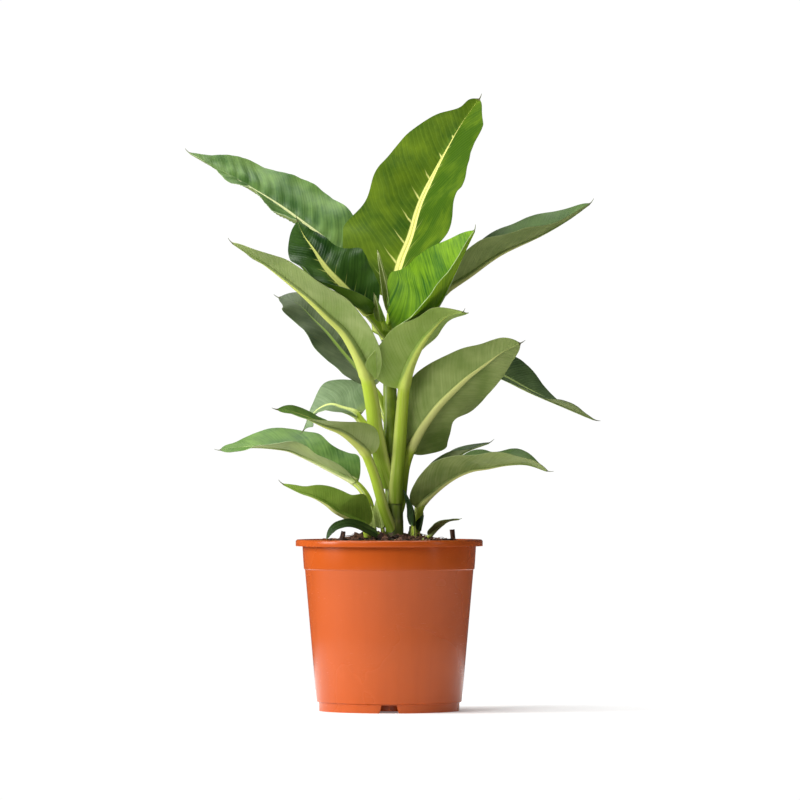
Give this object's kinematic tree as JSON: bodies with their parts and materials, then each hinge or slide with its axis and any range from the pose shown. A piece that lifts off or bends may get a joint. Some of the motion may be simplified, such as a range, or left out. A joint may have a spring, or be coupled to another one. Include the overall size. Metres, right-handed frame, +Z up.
{
  "type": "potted houseplant",
  "caption": "Potted dieffenbachia: broad pointed leaves on long petioles round an upright cane, in a tapered plastic nursery pot filled with soil.",
  "frame": {"origin": "centre of the plant's bounding box, on the plane under the pot's foot, which is also the pot's axis to within a few millimetres", "axes": "+Z up along the stem, +X to the right in the front view, the front of the plant faces -Y"},
  "size_m": [0.3725, 0.1877, 0.5612],
  "materials": {
    "pot": "glossy terracotta coloured moulding",
    "soil": "loose, damp bark potting mix",
    "bark": "rough bark",
    "stem": "satin, ringed with leaf scars",
    "leaf": "glossy green with a pale midrib",
    "young_leaf": "glossy bright green with a pale midrib",
    "sheath": "satin, pale yellow-green"
  },
  "bodies": {
    "root": {"pot": "pot", "soil": "soil", "bark_stub_right": "bark", "bark_stub_left": "bark", "main_stem": "stem", "left_shoot_stem": "stem", "right_shoot_stem": "stem", "leaf_top": "young_leaf", "leaf_upper_left_back": "leaf", "leaf_curled_dark": "leaf", "leaf_new": "young_leaf", "leaf_upper_right": "leaf", "leaf_long_left": "leaf", "leaf_dark_left_back": "leaf", "leaf_drooping_left": "leaf", "leaf_narrow_left": "leaf", "leaf_low_left_rolled": "leaf", "leaf_low_left_bright": "young_leaf", "leaf_low_left_dark": "leaf", "leaf_front_pale": "young_leaf", "leaf_large_right": "leaf", "leaf_dark_right": "leaf", "leaf_low_right_large": "leaf", "leaf_low_right_twisted": "leaf", "leaf_small_right": "leaf", "bract_right": "leaf", "bract_small": "leaf", "sheath_left_long": "sheath", "sheath_left_short": "sheath", "spear_tall": "young_leaf", "spear_short": "young_leaf"}
  },
  "joints": []
}
